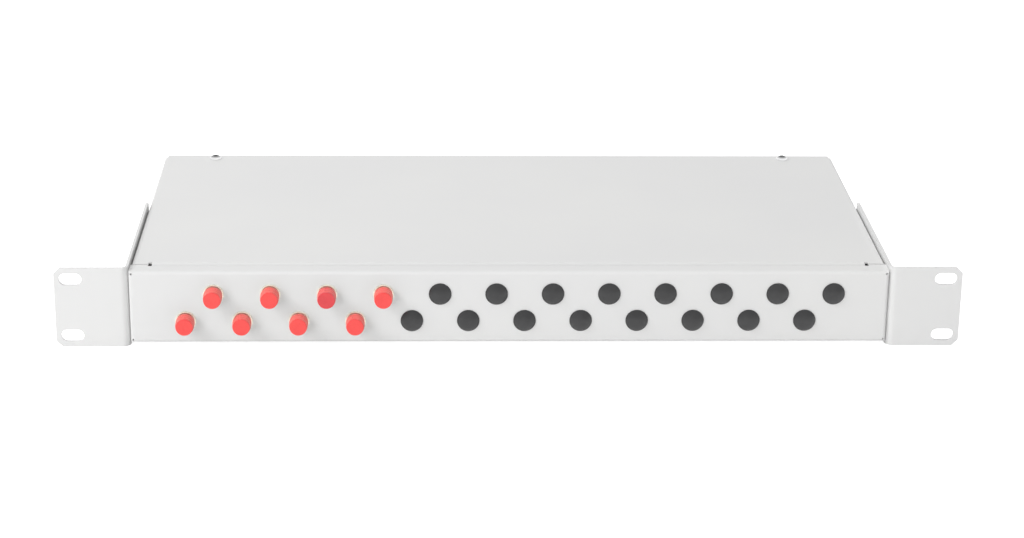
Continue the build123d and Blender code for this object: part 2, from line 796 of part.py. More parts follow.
# Fibre guide clips: a square foot and an open ring
guide_x = half_w - guide_side
guide_ys = (guide_front_y, base_rear - guide_rear_gap)
guide_places = [(x, y) for x in (-guide_x, guide_x) for y in guide_ys]
ring_z = floor_z + guide_base_t + guide_r - guide_wall / 2
with BuildPart() as fibre_guide:
    with BuildSketch(Plane.XY.offset(floor_z)):
        RectangleRounded(guide_base, guide_base, guide_wall)
    extrude(amount=guide_base_t)
    with BuildSketch(Plane.YZ):
        with Locations((0, ring_z)):
            Circle(guide_r)
            Circle(guide_r - guide_wall, mode=Mode.SUBTRACT)
        with Locations((0, ring_z + guide_r)):
            Rectangle(guide_mouth, guide_r, mode=Mode.SUBTRACT)
    extrude(amount=guide_w / 2, both=True)

with BuildPart() as fibre_guides:
    with Locations(*[(x, y, 0) for x, y in guide_places]):
        add(fibre_guide.part)
keep(fibre_guides.part, "fibre_guides")


# Strength member clamps: an angle on the floor with a pinch screw
with BuildPart() as member_clamp:
    with BuildSketch(Plane.YZ) as clamp_profile:
        with BuildLine():
            Polyline(
                (0, floor_z),
                (clamp_foot, floor_z),
                (clamp_foot, floor_z + clamp_t),
                (clamp_t, floor_z + clamp_t),
                (clamp_t, floor_z + clamp_h),
                (0, floor_z + clamp_h),
                close=True,
            )
        make_face()
        fillet(corner_near(clamp_profile, 0, floor_z), bend_in_r + clamp_t)
        fillet(corner_near(clamp_profile, clamp_t, floor_z + clamp_t), bend_in_r)
    extrude(amount=clamp_w / 2, both=True)
    with BuildSketch(at_depth(0)):
        with Locations((0, floor_z + clamp_hole_z)):
            Circle(m3_hole_r)
    extrude(amount=-clamp_t, mode=Mode.SUBTRACT)

with BuildPart() as member_clamps:
    with Locations((-gland_x, clamp_y, 0), (gland_x, clamp_y, 0)):
        add(member_clamp.part)
keep(member_clamps.part, "member_clamps")

with BuildPart() as clamp_screws:
    with BuildSketch(at_depth(clamp_y)):
        with Locations(*[(x, floor_z + clamp_hole_z) for x, z in gland_places]):
            Circle(tray_screw_head_r)
    extrude(amount=tray_screw_head_h)
    with BuildSketch(at_depth(clamp_y)):
        with Locations(*[(x, floor_z + clamp_hole_z) for x, z in gland_places]):
            Circle(m3_r)
    extrude(amount=-clamp_screw_len)
keep(clamp_screws.part, "clamp_screws")


# Ground stud through the rear wall, with a nut and washer on each side of it
with BuildPart() as ground_stud:
    with BuildSketch(at_depth(base_rear + stud_len)):
        Circle(stud_r)
    extrude(amount=stud_len + base_t + stud_in_len)
keep(ground_stud.part, "ground_stud")

with BuildPart() as ground_washers:
    with BuildSketch(at_depth(base_rear)):
        Circle(stud_washer_r)
        Circle(stud_r + thread_clear, mode=Mode.SUBTRACT)
    extrude(amount=-stud_washer_t)
    with BuildSketch(at_depth(base_rear - base_t)):
        Circle(stud_washer_r)
        Circle(stud_r + thread_clear, mode=Mode.SUBTRACT)
    extrude(amount=stud_washer_t)
keep(ground_washers.part, "ground_washers")

with BuildPart() as ground_nuts:
    with BuildSketch(at_depth(base_rear + stud_washer_t)):
        RegularPolygon(stud_nut_af / 2, 6, major_radius=False)
        Circle(stud_r + thread_clear, mode=Mode.SUBTRACT)
    extrude(amount=-stud_nut_t)
    with BuildSketch(at_depth(base_rear - base_t - stud_washer_t)):
        RegularPolygon(stud_nut_af / 2, 6, major_radius=False)
        Circle(stud_r + thread_clear, mode=Mode.SUBTRACT)
    extrude(amount=stud_nut_t)
keep(ground_nuts.part, "ground_nuts")
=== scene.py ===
from math import cos, pi, radians, sin, sqrt, tan, tau

import bmesh
import bpy
from mathutils import Euler, Matrix, Quaternion, Vector


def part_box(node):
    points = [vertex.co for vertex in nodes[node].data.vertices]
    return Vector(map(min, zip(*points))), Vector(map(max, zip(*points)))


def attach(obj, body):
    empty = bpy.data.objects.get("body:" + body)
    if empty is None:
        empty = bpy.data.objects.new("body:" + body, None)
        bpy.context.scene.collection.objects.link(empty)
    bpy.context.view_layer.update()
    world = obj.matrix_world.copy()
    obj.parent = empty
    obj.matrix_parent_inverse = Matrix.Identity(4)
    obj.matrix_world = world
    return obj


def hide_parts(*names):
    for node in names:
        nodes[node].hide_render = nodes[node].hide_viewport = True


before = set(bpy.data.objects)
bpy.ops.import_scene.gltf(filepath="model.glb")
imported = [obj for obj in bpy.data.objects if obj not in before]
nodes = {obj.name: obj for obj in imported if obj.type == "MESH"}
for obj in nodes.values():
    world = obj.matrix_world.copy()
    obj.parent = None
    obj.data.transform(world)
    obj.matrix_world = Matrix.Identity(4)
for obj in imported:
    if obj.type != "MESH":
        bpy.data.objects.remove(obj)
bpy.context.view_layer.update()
scene = bpy.context.scene
mm = 0.001
print("frame loaded:", len(nodes), "nodes")


# Places in the frame, in millimetres

def middle(name):
    low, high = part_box(name)
    return (low + high) / 2 / mm


def pairPlaces(name, reach):
    # The middles of a left and a right piece that share a node, each reaching so far to its side
    low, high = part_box(name)
    centre = (low + high) / 2 / mm
    return [(low.x / mm + reach, centre.y, centre.z), (high.x / mm - reach, centre.y, centre.z)]


def numbered(stem, count):
    return [f"{stem}_{i}" for i in range(1, count + 1)]


adapterNames = numbered("adapter", 8)
capNames = numbered("dust_cap", 8)
plugNames = numbered("blank_plug", 16)


# Finishes

def srgb(r, g, b):
    def channel(c):
        c /= 255
        return c / 12.92 if c <= 0.04045 else ((c + 0.055) / 1.055) ** 2.4
    return (channel(r), channel(g), channel(b), 1)


def newFinish(name, roughness=0.5, metallic=0.0):
    finish = bpy.data.materials.new(name)
    finish.use_nodes = True
    shader = finish.node_tree.nodes["Principled BSDF"]
    shader.inputs["Roughness"].default_value = roughness
    shader.inputs["Metallic"].default_value = metallic
    return finish, finish.node_tree, shader


def noiseOn(tree, scale, detail=2.0, stretch=(1, 1, 1)):
    # Noise on the object's own coordinates; scale counts features per metre
    place = tree.nodes.new("ShaderNodeTexCoord")
    turn = tree.nodes.new("ShaderNodeMapping")
    turn.inputs["Scale"].default_value = stretch
    noise = tree.nodes.new("ShaderNodeTexNoise")
    noise.inputs["Scale"].default_value = scale
    noise.inputs["Detail"].default_value = detail
    tree.links.new(place.outputs["Object"], turn.inputs["Vector"])
    tree.links.new(turn.outputs["Vector"], noise.inputs["Vector"])
    return noise.outputs["Fac"]


def alongAxis(tree, axis):
    # The X, Y or Z of the object's own coordinates
    place = tree.nodes.new("ShaderNodeTexCoord")
    split = tree.nodes.new("ShaderNodeSeparateXYZ")
    tree.links.new(place.outputs["Object"], split.inputs["Vector"])
    return split.outputs[axis]


def spread(tree, value, low, high, source=(0.3, 0.7)):
    # Maps a value from the source range onto the range low to high; a noise lies mostly in 0.3 to 0.7
    span = tree.nodes.new("ShaderNodeMapRange")
    span.inputs["From Min"].default_value = source[0]
    span.inputs["From Max"].default_value = source[1]
    span.inputs["To Min"].default_value = low
    span.inputs["To Max"].default_value = high
    tree.links.new(value, span.inputs["Value"])
    return span.outputs["Result"]


def blendColours(tree, factor, first, second):
    mix = tree.nodes.new("ShaderNodeMix")
    mix.data_type = "RGBA"
    tree.links.new(factor, mix.inputs["Factor"])
    for socket, colour in (("A", first), ("B", second)):
        target = next(s for s in mix.inputs if s.name == socket and s.type == "RGBA")
        if isinstance(colour, tuple):
            target.default_value = colour
        else:
            tree.links.new(colour, target)
    return next(s for s in mix.outputs if s.type == "RGBA")


def reckon(tree, operation, value, other=0.0):
    # One sum on a value; other is a number or another value
    step = tree.nodes.new("ShaderNodeMath")
    step.operation = operation
    tree.links.new(value, step.inputs[0])
    if isinstance(other, float):
        step.inputs[1].default_value = other
    else:
        tree.links.new(other, step.inputs[1])
    return step.outputs["Value"]


def bumpFrom(tree, shader, height, strength, depth):
    # depth in millimetres; bumps stack when it is called again
    bump = tree.nodes.new("ShaderNodeBump")
    bump.inputs["Strength"].default_value = strength
    bump.inputs["Distance"].default_value = depth * mm
    tree.links.new(height, bump.inputs["Height"])
    if shader.inputs["Normal"].links:
        tree.links.new(shader.inputs["Normal"].links[0].from_socket, bump.inputs["Normal"])
    tree.links.new(bump.outputs["Normal"], shader.inputs["Normal"])


coatLook = {
    "light": srgb(232, 232, 231),
    "dark": srgb(229, 229, 229),
    "fleck": srgb(196, 197, 198),
    "fleckShare": 0.05,
    "cloudScale": 9,
    "peelScale": 1100,
    "peelDepth": 0.03,
    "grainScale": 5200,
    "roughness": (0.46, 0.56),
    "specular": 0.2,
}


def powderCoat():
    look = coatLook
    finish, tree, shader = newFinish("powder coat, light grey")
    cloud = noiseOn(tree, look["cloudScale"], 3)
    grain = noiseOn(tree, look["grainScale"], 1)
    peel = noiseOn(tree, look["peelScale"], 2)
    base = blendColours(tree, spread(tree, cloud, 0, 1), look["dark"], look["light"])
    colour = blendColours(tree, spread(tree, grain, 0, look["fleckShare"]), base, look["fleck"])
    tree.links.new(colour, shader.inputs["Base Color"])
    tree.links.new(spread(tree, peel, *look["roughness"]), shader.inputs["Roughness"])
    bumpFrom(tree, shader, peel, 0.25, look["peelDepth"])
    bumpFrom(tree, shader, grain, 0.15, look["peelDepth"] / 4)
    shader.inputs["Specular IOR Level"].default_value = look["specular"]
    return finish


# Painted dark reflection on the crown of the cover's screws
crownShadeLook = {"tone": srgb(108, 109, 110), "starts": 1.2, "full": 0.3}


def paintedCrownShade(tree, flank):
    # The crown and recess of the cover's screws are painted darker than their flank, a painted dark
    # reflection
    c = crownShadeLook
    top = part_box("cover_screws")[1].z
    height = spread(tree, alongAxis(tree, "Z"), 0, 1, (top - c["starts"] * mm, top - c["full"] * mm))
    return blendColours(tree, height, flank, c["tone"])


def plainMetal(name, first, second, roughness, brushed=(1, 1, 1), scale=2500, crownShaded=False):
    finish, tree, shader = newFinish(name, metallic=1.0)
    marks = noiseOn(tree, scale, 3, brushed)
    tone = noiseOn(tree, 260, 2)
    colour = blendColours(tree, spread(tree, tone, 0, 1), first, second)
    # Only the cover's screws get the painted dark reflection on their crown
    if crownShaded:
        colour = paintedCrownShade(tree, colour)
    tree.links.new(colour, shader.inputs["Base Color"])
    tree.links.new(spread(tree, marks, *roughness), shader.inputs["Roughness"])
    bumpFrom(tree, shader, marks, 0.3, 0.01)
    return finish


def mouldedPlastic(name, first, second, roughness, texture=2600, depth=0.012, specular=0.5, flank=None):
    # Two near tones in soft clouds, and the fine texture that the mould leaves
    finish, tree, shader = newFinish(name)
    cloud = noiseOn(tree, 180, 2)
    skin = noiseOn(tree, texture, 2)
    colour = blendColours(tree, spread(tree, cloud, 0, 1), first, second)
    if flank:
        # Only the dust caps have one: the paler colour of a painted sheen on their side
        colour = paintSideSheen(tree, colour, flank)
        shader.inputs["Diffuse Roughness"].default_value = 1.0
    tree.links.new(colour, shader.inputs["Base Color"])
    tree.links.new(spread(tree, skin, *roughness), shader.inputs["Roughness"])
    bumpFrom(tree, shader, skin, 0.35, depth)
    shader.inputs["Specular IOR Level"].default_value = specular
    return finish


def clearPlastic():
    finish, tree, shader = newFinish("clear lid plastic")
    haze = noiseOn(tree, 900, 3)
    tint = blendColours(tree, spread(tree, haze, 0, 1), srgb(226, 232, 234), srgb(236, 240, 241))
    tree.links.new(tint, shader.inputs["Base Color"])
    tree.links.new(spread(tree, haze, 0.05, 0.16), shader.inputs["Roughness"])
    shader.inputs["Transmission Weight"].default_value = 0.85
    shader.inputs["IOR"].default_value = 1.49
    return finish


coat = powderCoat()
zinc = plainMetal("zinc plate", srgb(188, 190, 192), srgb(204, 205, 205), (0.24, 0.42))
# The cover's screws: bright zinc with a painted dark reflection on the crown
brightZinc = plainMetal("bright zinc, painted dark crown", srgb(238, 239, 240), srgb(247, 247, 247), (0.1, 0.2),
                        crownShaded=True)
brass = plainMetal("pale plated brass", srgb(240, 236, 218), srgb(248, 245, 230), (0.32, 0.46), (1, 6, 1))
ceramic = mouldedPlastic("sleeve ceramic", srgb(236, 234, 228), srgb(244, 243, 238), (0.12, 0.22),
                         specular=0.7)
plugBlack = mouldedPlastic("plug plastic", srgb(40, 40, 41), srgb(47, 47, 48), (0.3, 0.4), 1800, 0.02)
nylon = mouldedPlastic("gland nylon", srgb(38, 38, 39), srgb(46, 46, 47), (0.42, 0.58), 1500, 0.03)
rubber = mouldedPlastic("seal rubber", srgb(30, 30, 31), srgb(38, 38, 38), (0.62, 0.78), 1900, 0.02, 0.3)
trayWhite = mouldedPlastic("splice tray plastic", srgb(214, 215, 212), srgb(224, 225, 222), (0.38, 0.52),
                           1400, 0.02)
clear = clearPlastic()
print("finishes made")


# Shapes

weld = 0.0005 * mm


def spun(profile, steps=48):
    # A profile of (radius, y) points, turned about the Y axis
    bm = bmesh.new()
    line = [bm.verts.new((r * mm, y * mm, 0)) for r, y in profile]
    edges = [bm.edges.new(pair) for pair in zip(line, line[1:])]
    bmesh.ops.spin(bm, geom=line + edges, cent=(0, 0, 0), axis=(0, 1, 0), angle=tau, steps=steps,
                   use_merge=True)
    bmesh.ops.remove_doubles(bm, verts=bm.verts, dist=weld)
    bmesh.ops.recalc_face_normals(bm, faces=bm.faces)
    return bm


def arcPoints(centre, radius, start, end, count=6):
    # Points of an arc in a profile, angles in degrees from the radius direction towards +Y
    turn = [radians(start + (end - start) * i / count) for i in range(count + 1)]
    return [(centre[0] + radius * cos(a), centre[1] + radius * sin(a)) for a in turn]


def domePoints(radius, crown, tip, count=12):
    # A shallow dome of (radius, y) points from the axis outwards, its top at y = tip
    ball = (radius ** 2 + crown ** 2) / (2 * crown)
    reach = [radius * i / count for i in range(count + 1)]
    return [(r, tip + ball - sqrt(ball ** 2 - r ** 2)) for r in reach]


def shifted(bm, offset, turn=None):
    if turn:
        bmesh.ops.rotate(bm, verts=bm.verts, cent=(0, 0, 0), matrix=turn)
    bmesh.ops.translate(bm, verts=bm.verts, vec=Vector(offset) * mm)
    return bm


def joined(parts):
    # Several shapes in one
    whole = bmesh.new()
    for part in parts:
        mesh = bpy.data.meshes.new("part")
        part.to_mesh(mesh)
        part.free()
        whole.from_mesh(mesh)
        bpy.data.meshes.remove(mesh)
    return whole


def carve(shape, tool, operation="DIFFERENCE"):
    # One shape cut by another, merged with it or cut down to what both hold
    pair = []
    for part in (shape, tool):
        mesh = bpy.data.meshes.new("shape")
        part.to_mesh(mesh)
        part.free()
        pair.append(bpy.data.objects.new("shape", mesh))
        scene.collection.objects.link(pair[-1])
    cut = pair[0].modifiers.new("cut", "BOOLEAN")
    cut.operation = operation
    cut.solver = "EXACT"
    cut.object = pair[1]
    result = bmesh.new()
    result.from_object(pair[0], bpy.context.evaluated_depsgraph_get())
    for obj in pair:
        mesh = obj.data
        bpy.data.objects.remove(obj)
        bpy.data.meshes.remove(mesh)
    return result


def block(size, centre):
    bm = bmesh.new()
    bmesh.ops.create_cube(bm, size=1)
    bmesh.ops.scale(bm, verts=bm.verts, vec=Vector(size) * mm)
    return shifted(bm, centre)


def hexBar(flats, y0, y1, bevelled):
    # A hexagon along Y with flats up and down; bevelled ends have their corners turned off
    corner = flats / sqrt(3)
    bar = spun([(0, y0), (corner, y0), (corner, y1), (0, y1)], 6)
    face = flats / 2 * 0.96
    slope = (corner - face) * tan(radians(30))
    wide = corner * 1.1
    lens = [(0, y0), (wide, y0), (wide, y1), (0, y1)]
    if "start" in bevelled:
        lens[1:2] = [(face, y0), (wide, y0 + slope + (wide - corner) * tan(radians(30)))]
    if "end" in bevelled:
        lens[-2:-1] = [(wide, y1 - slope - (wide - corner) * tan(radians(30))), (face, y1)]
    return carve(bar, spun(lens, 72), "INTERSECT")


def bored(shape, radius, y0, y1):
    return carve(shape, spun([(0, y0 - 1), (radius, y0 - 1), (radius, y1 + 1), (0, y1 + 1)], 48))


def threadRidge(core, crest, pitch, y0, y1, gap=0, steps=28):
    # A V-shaped ridge wound along Y; a gap in degrees leaves the top open for a key slot
    bm = bmesh.new()
    sunk = 0.04
    ridge = [(core - sunk, 0), (crest, 0.32), (crest, 0.42), (core - sunk, 0.74)]
    for turn in range(int((y1 - y0) / pitch)):
        start = y0 + turn * pitch
        loop = [bm.verts.new((r * mm, (start + share * pitch) * mm, 0)) for r, share in ridge]
        edges = [bm.edges.new((loop[i - 1], loop[i])) for i in range(4)]
        aim = Matrix.Rotation(radians(-90 + gap / 2), 3, "Y")
        bmesh.ops.rotate(bm, verts=loop, cent=(0, 0, 0), matrix=aim)
        bmesh.ops.spin(bm, geom=loop + edges, cent=(0, 0, 0), axis=(0, 1, 0), angle=tau - radians(gap),
                       dvec=(0, pitch * mm / steps, 0), steps=steps)
    bmesh.ops.remove_doubles(bm, verts=bm.verts, dist=weld)
    bmesh.ops.holes_fill(bm, edges=[e for e in bm.edges if e.is_boundary], sides=4)
    bmesh.ops.recalc_face_normals(bm, faces=bm.faces)
    return bm


def softenEdges(bm, width, segments=2, sharper=40):
    edges = [e for e in bm.edges if e.is_manifold and e.calc_face_angle() > radians(sharper)]
    bmesh.ops.bevel(bm, geom=edges, offset=width * mm, offset_type="OFFSET", segments=segments, profile=0.5,
                    affect="EDGES", clamp_overlap=True, material=-1)
    return bm


def makePiece(bm, name, body, finish, replaced, sharpFrom=50):
    mesh = bpy.data.meshes.new(name)
    bm.to_mesh(mesh)
    bm.free()
    mesh.materials.append(finish)
    mesh.shade_smooth()
    mesh.set_sharp_from_angle(angle=radians(sharpFrom))
    piece = bpy.data.objects.new(name, mesh)
    scene.collection.objects.link(piece)
    even = piece.modifiers.new("even shading", "WEIGHTED_NORMAL")
    even.keep_sharp = True
    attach(piece, body)
    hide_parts(*replaced)
    return piece


# Folded sheet metal

sheetEdges = {"width": 0.16, "segments": 2, "sharper": 40}
coverTrim = {
    "sideIn": 0.5, "sideZone": 3.0,
    "notchX": 191.65, "notchW": 1.7, "notchBack": 14.9, "notchFront": 11.0, "notchDeep": 3,
}


def trimCover(bm):
    # The narrow gap beside each rack leg, and the open notch at each end of the tongue
    t = coverTrim
    start = max(v.co.x for v in bm.verts) / mm - t["sideZone"]
    for v in bm.verts:
        past = max(0, abs(v.co.x) / mm - start) / t["sideZone"]
        v.co.x -= past * t["sideIn"] * mm * (1 if v.co.x > 0 else -1)
    top = max(v.co.z for v in bm.verts) / mm
    long = t["notchBack"] - t["notchFront"]
    for side in (-1, 1):
        place = (side * t["notchX"], t["notchFront"] + long / 2, top)
        bm = carve(bm, block((t["notchW"], long, t["notchDeep"]), place))
    return bm


def dressSheet(node):
    bm = bmesh.new()
    bm.from_mesh(nodes[node].data)
    bmesh.ops.remove_doubles(bm, verts=bm.verts, dist=0.001 * mm)
    bmesh.ops.dissolve_limit(bm, angle_limit=radians(1), verts=bm.verts, edges=bm.edges)
    if node == "cover":
        bm = trimCover(bm)
    softenEdges(bm, **sheetEdges)
    makePiece(bm, node + "_painted", "panel", coat, [node])


for sheetNode in ("front_panel", "base_tray", "cover", "left_bracket", "right_bracket"):
    dressSheet(sheetNode)
print("sheet metal dressed")


# Adapters

adapterShape = {
    "flangeR": 5.4, "flangeT": 1.5, "flangeEdge": 0.25,
    "core": 3.76, "crest": 4.0, "pitch": 0.75, "relief": 0.15,
    "frontLen": 7.0, "shankR": 4.4, "shankFlat": 3.9, "shankLen": 5.0, "rearLen": 7.0,
    "socketR": 3.0, "web": 3.2, "tubeR": 2.2, "tubeBore": 1.65, "setback": 1.0, "lip": 0.15, "lead": 0.2,
    "slotW": 2.2, "slotDeep": 3.0, "slotGap": 34,
}


def adapterHalf(tip, inward, web):
    # One end of the turned body, from the tube's bore out over the socket to the thread's core
    a = adapterShape
    lip = a["lip"]
    lead = a["lead"]
    tube = tip + inward * a["setback"]
    return [
        (a["tubeBore"], tube + inward * lip), (a["tubeBore"] + lip, tube), (a["tubeR"] - lip, tube),
        (a["tubeR"], tube + inward * lip), (a["tubeR"], web - inward * a["web"] / 2),
        (a["socketR"], web - inward * a["web"] / 2), (a["socketR"], tip + inward * lead),
        (a["socketR"] + lead, tip), (a["core"] - lead, tip), (a["core"], tip + inward * lead),
    ]


def adapterBody():
    a = adapterShape
    tip = -(a["flangeT"] + a["frontLen"])
    tail = a["shankLen"] + a["rearLen"]
    web = (tip + tail) / 2
    edge = a["flangeEdge"]
    neck = a["core"] - a["relief"]
    front = adapterHalf(tip, 1, web)
    collar = [(a["core"], -a["flangeT"] - 0.4), (neck, -a["flangeT"] - 0.3), (neck, -a["flangeT"])]
    collar += arcPoints((a["flangeR"] - edge, edge - a["flangeT"]), edge, -90, 0, 3)
    collar += [(a["flangeR"], -edge / 2), (a["flangeR"] - edge / 2, 0)]
    shank = [(a["shankR"], 0), (a["shankR"], a["shankLen"] - a["lead"]),
             (a["shankR"] - a["lead"], a["shankLen"]), (a["core"], a["shankLen"])]
    rear = adapterHalf(tail, -1, web)[::-1]
    body = spun(front + collar + shank + rear + front[:1], 56)
    # The flat that stops the adapter turning in the panel
    for v in body.verts:
        if 0 < v.co.y <= a["shankLen"] * mm:
            v.co.z = min(v.co.z, a["shankFlat"] * mm)
    slotH = 2 * (a["core"] - a["tubeR"] - a["lip"])
    for y in (tip + a["slotDeep"] / 2 - 0.5, tail - a["slotDeep"] / 2 + 0.5):
        body = carve(body, block((a["slotW"], a["slotDeep"] + 1, slotH), (0, y, a["crest"])))
    softenEdges(body, 0.05, 1, 60)
    slotEnd = a["slotDeep"] + 0.3
    threads = [
        threadRidge(a["core"], a["crest"], a["pitch"], tip + 0.4, tip + slotEnd, a["slotGap"]),
        threadRidge(a["core"], a["crest"], a["pitch"], tip + slotEnd + 0.2, -a["flangeT"] - 0.5),
        threadRidge(a["core"], a["crest"], a["pitch"], tail - slotEnd + 0.1, tail - 0.4, a["slotGap"]),
        threadRidge(a["core"], a["crest"], a["pitch"], a["shankLen"] + 0.3, tail - slotEnd),
    ]
    return joined([body] + threads)


adapterMesh = adapterBody()
for name in adapterNames:
    at = middle(name)
    turned = shifted(adapterMesh.copy(), (at.x, 0, at.z))
    makePiece(turned, name + "_turned", "panel", brass, [name], 40)
adapterMesh.free()
print("adapters turned")


# Dust caps

capShape = {
    "length": 7.8, "frontR": 4.6, "baseR": 4.88, "boreR": 4.05, "endT": 1.2, "frontEdge": 0.4,
    "dimpleR": 0.8, "dimple": 0.12, "dimpleLip": 0.2, "bulge": 0.02, "shoulder": 0.8,
    "ribs": 3, "ribFrom": 1.1, "ribZone": 6.3, "ribHeight": 0.24, "ribHalf": 0.34, "ribCrown": 0.7,
    "mouthEdge": 0.2, "mouthLead": 0.15,
}
# The paler side colours are a painted sheen on the caps' sides and ribs
capVinyl = {
    "roughness": (0.26, 0.36), "specular": 0.6,
    "coralDark": srgb(245, 78, 74), "coralLight": srgb(249, 84, 79), "coralPaintedSheen": srgb(255, 134, 122),
    "crimsonDark": srgb(226, 62, 70), "crimsonLight": srgb(234, 72, 78), "crimsonPaintedSheen": srgb(255, 130, 122),
    "sheenStarts": 0.2, "sheenFull": 0.9, "valley": -0.3,
}


def ribPlaces():
    c = capShape
    return [c["ribFrom"] + c["ribZone"] * (i + 0.5) / c["ribs"] for i in range(c["ribs"])]


def paintSideSheen(tree, front, flank):
    # Painted sheen: a cap's side is painted paler than its front, most of all on its ribs
    v = capVinyl
    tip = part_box(capNames[0])[0].y
    along = alongAxis(tree, "Y")
    wall = spread(tree, along, 0, 1, (tip + v["sheenStarts"] * mm, tip + v["sheenFull"] * mm))
    fromRib = reckon(tree, "SUBTRACT", along, tip + ribPlaces()[0] * mm)
    turn = reckon(tree, "MULTIPLY", fromRib, tau * capShape["ribs"] / (capShape["ribZone"] * mm))
    ribs = spread(tree, reckon(tree, "COSINE", turn), v["valley"], 1, (-1, 1))
    return blendColours(tree, reckon(tree, "MULTIPLY", wall, ribs), front, flank)


def vinyl(name, tone, specular=capVinyl["specular"], withSheen=True):
    v = capVinyl
    # The paler side colour paints a sheen; the inner caps have none
    flank = v[tone + "PaintedSheen"] if withSheen else None
    return mouldedPlastic(name, v[tone + "Dark"], v[tone + "Light"], v["roughness"],
                          specular=specular, flank=flank)


coral = vinyl("coral cap vinyl", "coral")
crimson = vinyl("crimson cap vinyl", "crimson")
innerRed = vinyl("inner cap vinyl", "coral", 0.5, withSheen=False)


def capBody():
    # Its front at y = 0 and its open end towards +Y
    c = capShape
    corner = c["frontEdge"]
    half = c["ribHalf"]
    front = [(0, c["dimple"]), (c["dimpleR"], c["dimple"]), (c["dimpleR"] + c["dimpleLip"], c["bulge"]),
             (c["frontR"] - corner - c["shoulder"], 0)]
    rim = arcPoints((c["frontR"] - corner, corner), corner, -90, 0, 6)
    flank = []
    for y in ribPlaces():
        r = c["frontR"] + (c["baseR"] - c["frontR"]) * y / c["length"]
        side = r + c["ribHeight"] * c["ribCrown"]
        flank += [(r, y - half), (side, y - half / 2), (r + c["ribHeight"], y),
                  (side, y + half / 2), (r, y + half)]
    base = arcPoints((c["baseR"] - c["mouthEdge"], c["length"] - c["mouthEdge"]), c["mouthEdge"], 0, 90, 3)
    bore = [(c["boreR"] + c["mouthLead"], c["length"]), (c["boreR"], c["length"] - 0.2),
            (c["boreR"], c["endT"] + 0.3), (c["boreR"] - 0.3, c["endT"]), (0, c["endT"])]
    return spun(front + rim + flank + base + bore, 64)


capMesh = capBody()
for i, name in enumerate(capNames):
    low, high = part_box(name)
    at = middle(name)
    tone = crimson if name == "dust_cap_7" else coral
    moulded = shifted(capMesh.copy(), (at.x, low.y / mm, at.z))
    cap = makePiece(moulded, name + "_moulded", f"cap_{i + 1}", tone, [name], 60)
    cap.visible_diffuse = False  # the coat behind it stays a neutral grey, as in the photograph

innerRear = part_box("inner_dust_caps")[1].y / mm
innerCaps = []
for name in adapterNames:
    at = middle(name)
    innerCaps.append(shifted(capMesh.copy(), (at.x, innerRear, at.z), Matrix.Rotation(pi, 3, "X")))
makePiece(joined(innerCaps), "inner_dust_caps_moulded", "panel", innerRed,
          ["inner_dust_caps"], 60)
capMesh.free()
print("dust caps moulded")


# Blanking plugs

plugShape = {
    "headR": 6.0, "rim": 0.6, "crown": 2.2, "edge": 0.12,
    "stemR": 4.4, "stemFlat": 3.9, "stemLen": 7.0, "wall": 0.9, "lead": 0.5,
}


def plugBody():
    p = plugShape
    edge = p["edge"]
    inner = p["stemR"] - p["wall"]
    dome = domePoints(p["headR"] - edge, p["crown"], -p["rim"] - p["crown"], 14)
    rim = [(p["headR"], edge - p["rim"]), (p["headR"], -edge), (p["headR"] - edge, 0)]
    stem = [(p["stemR"], 0), (p["stemR"], p["stemLen"] - p["lead"]), (p["stemR"] - 0.3, p["stemLen"]),
            (inner, p["stemLen"]), (inner, 0.3), (inner - 0.3, 0), (0, 0)]
    body = spun(dome + rim + stem, 64)
    for v in body.verts:
        if v.co.y > 0:
            v.co.z = min(v.co.z, p["stemFlat"] * mm)
    return body


plugMesh = plugBody()
for i, name in enumerate(plugNames):
    at = middle(name)
    moulded = shifted(plugMesh.copy(), (at.x, 0, at.z))
    makePiece(moulded, name + "_moulded", f"plug_{i + 1}", plugBlack, [name], 55)
plugMesh.free()
print("plugs moulded")


# Screws with cross recesses

panScrew = {
    "headR": 3.4, "headH": 2.4, "edge": 1.1, "shankR": 1.5, "core": 1.33, "length": 8.0, "pitch": 0.5,
    "recessL": 3.2, "recessW": 0.8, "recessD": 1.3,
}
flatScrew = {
    "headR": 3.4, "shankR": 2.0, "core": 1.76, "length": 8.0, "pitch": 0.7,
    "recessL": 3.2, "recessW": 0.8, "recessD": 1.3,
}


def crossCut(body, s, top):
    # A cross recess that narrows downwards, its mouth at y = top
    for turn in (0, 90):
        arm = block((s["recessL"], 2 * s["recessD"], s["recessW"]), (0, top, 0))
        for v in arm.verts:
            if v.co.y > top * mm:
                v.co.x *= 0.62
                v.co.z *= 0.8
        body = carve(body, shifted(arm, (0, 0, 0), Matrix.Rotation(radians(turn), 3, "Y")))
    return softenEdges(body, 0.06, 1, 55)


def panScrewBody():
    # The underside of its head at y = 0, its tip towards +Y
    s = panScrew
    dome = domePoints(s["headR"] - 0.1, s["headH"] - s["edge"], -s["headH"], 9)
    head = [(s["headR"], -s["edge"] + 0.15), (s["headR"], -0.1), (s["headR"] - 0.1, 0)]
    shank = [(s["core"], 0), (s["core"], s["length"] - 0.4), (s["core"] - 0.4, s["length"]), (0, s["length"])]
    body = crossCut(spun(dome + head + shank, 48), s, -s["headH"])
    return joined([body, threadRidge(s["core"], s["shankR"], s["pitch"], 0.4, s["length"] - 0.4)])


def flatScrewBody():
    # The face of its head at y = 0, its tip towards +Y
    s = flatScrew
    head = [(0, 0.02), (s["headR"] - 0.2, 0.02), (s["headR"], 0.1), (s["headR"], 0.2),
            (s["core"], s["headR"] - s["core"] + 0.2)]
    shank = [(s["core"], s["length"] - 0.4), (s["core"] - 0.4, s["length"]), (0, s["length"])]
    body = crossCut(spun(head + shank, 48), s, 0.02)
    return joined([body, threadRidge(s["core"], s["shankR"], s["pitch"], 2.2, s["length"] - 0.4)])


